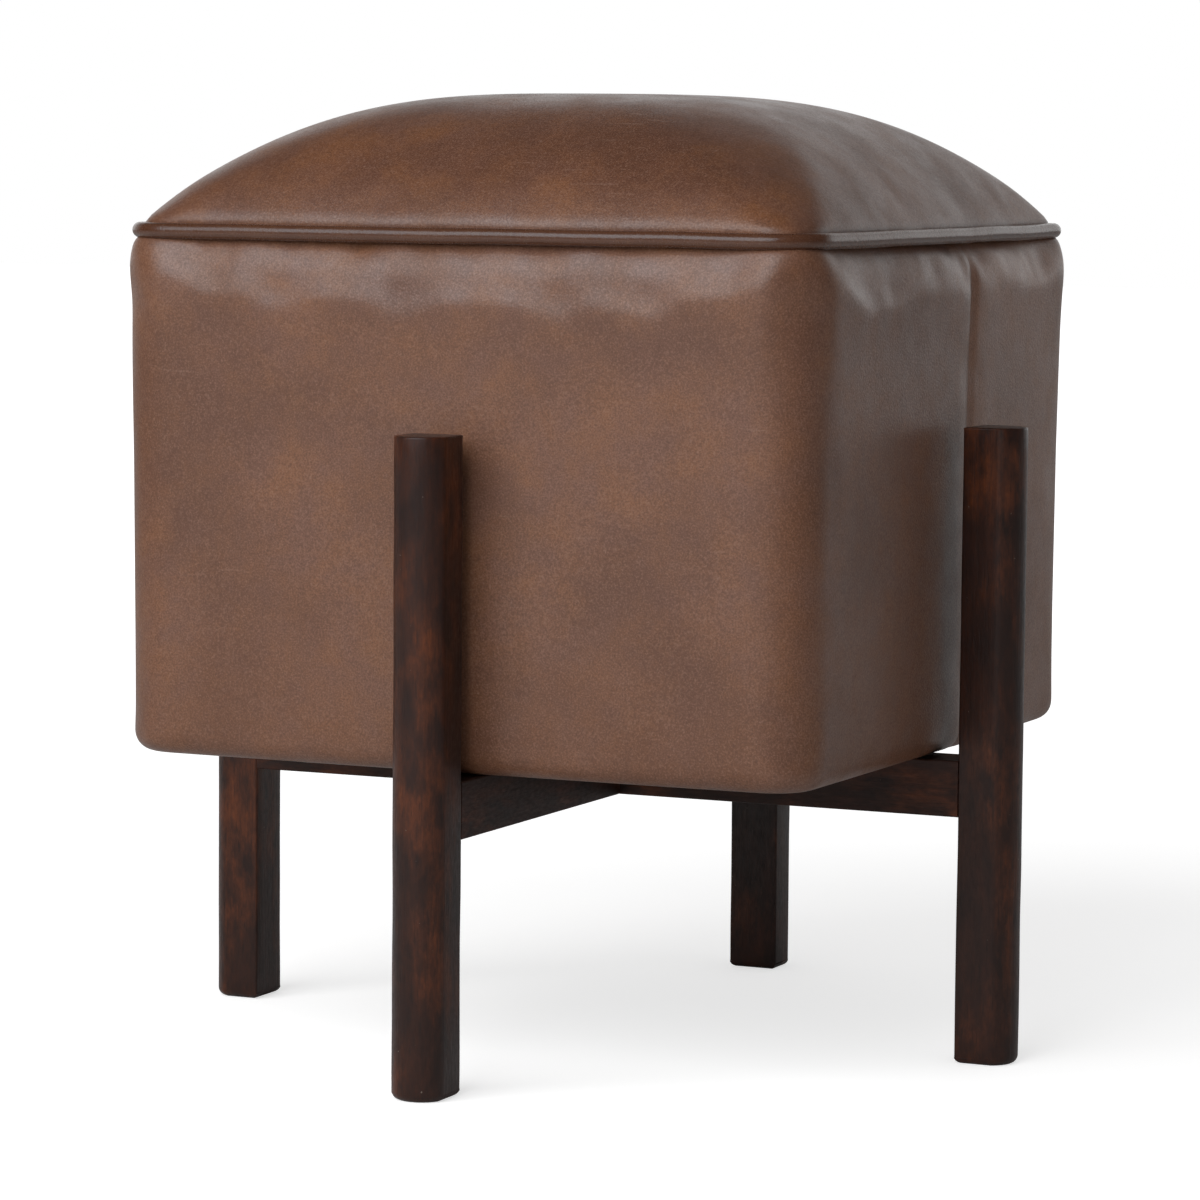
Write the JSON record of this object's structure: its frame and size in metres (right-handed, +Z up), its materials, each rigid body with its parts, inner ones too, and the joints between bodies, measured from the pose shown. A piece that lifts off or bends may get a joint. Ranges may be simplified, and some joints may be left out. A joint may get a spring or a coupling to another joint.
{
  "type": "leather footstool",
  "caption": "Square leather footstool with a domed, piped cushion box held between upright D-section wooden legs that are joined by crossed rails.",
  "frame": {"origin": "on the floor, under the middle of the seat", "axes": "+Z up, the front leg towards -Y, the right leg towards +X"},
  "size_m": [0.463, 0.463, 0.4923],
  "materials": {
    "stained_wood": "dark walnut stain under satin lacquer",
    "plywood": "bare plywood",
    "softwood": "bare planed softwood",
    "screw_steel": "zinc plated",
    "jute_webbing": "woven jute",
    "hessian": "plain weave",
    "foam": "open cell foam",
    "wadding": "polyester wadding",
    "leather": "waxed brown leather, satin",
    "cotton_cord": "twisted cotton",
    "dust_cloth": "black non-woven cloth"
  },
  "bodies": {
    "root": {"leg_front": "stained_wood", "leg_right": "stained_wood", "leg_back": "stained_wood", "leg_left": "stained_wood", "rail_left_to_right": "stained_wood", "rail_front_to_back": "stained_wood", "seat_screws": "screw_steel", "base_panel": "plywood", "corner_post_front_left": "softwood", "corner_post_front_right": "softwood", "corner_post_back_right": "softwood", "corner_post_back_left": "softwood", "carcass_panel_front": "plywood", "carcass_panel_right": "plywood", "carcass_panel_back": "plywood", "carcass_panel_left": "plywood", "carcass_screws": "screw_steel", "base_screws": "screw_steel", "webbing_left_to_right": "jute_webbing", "webbing_front_to_back": "jute_webbing", "deck_hessian": "hessian", "seat_foam": "foam", "seat_wadding": "wadding", "side_foam_front": "foam", "side_foam_right": "foam", "side_foam_back": "foam", "side_foam_left": "foam", "leather_crown": "leather", "leather_side_front": "leather", "leather_side_back": "leather", "piping_leather": "leather", "piping_cord": "cotton_cord", "dust_cover": "dust_cloth"}
  },
  "joints": []
}
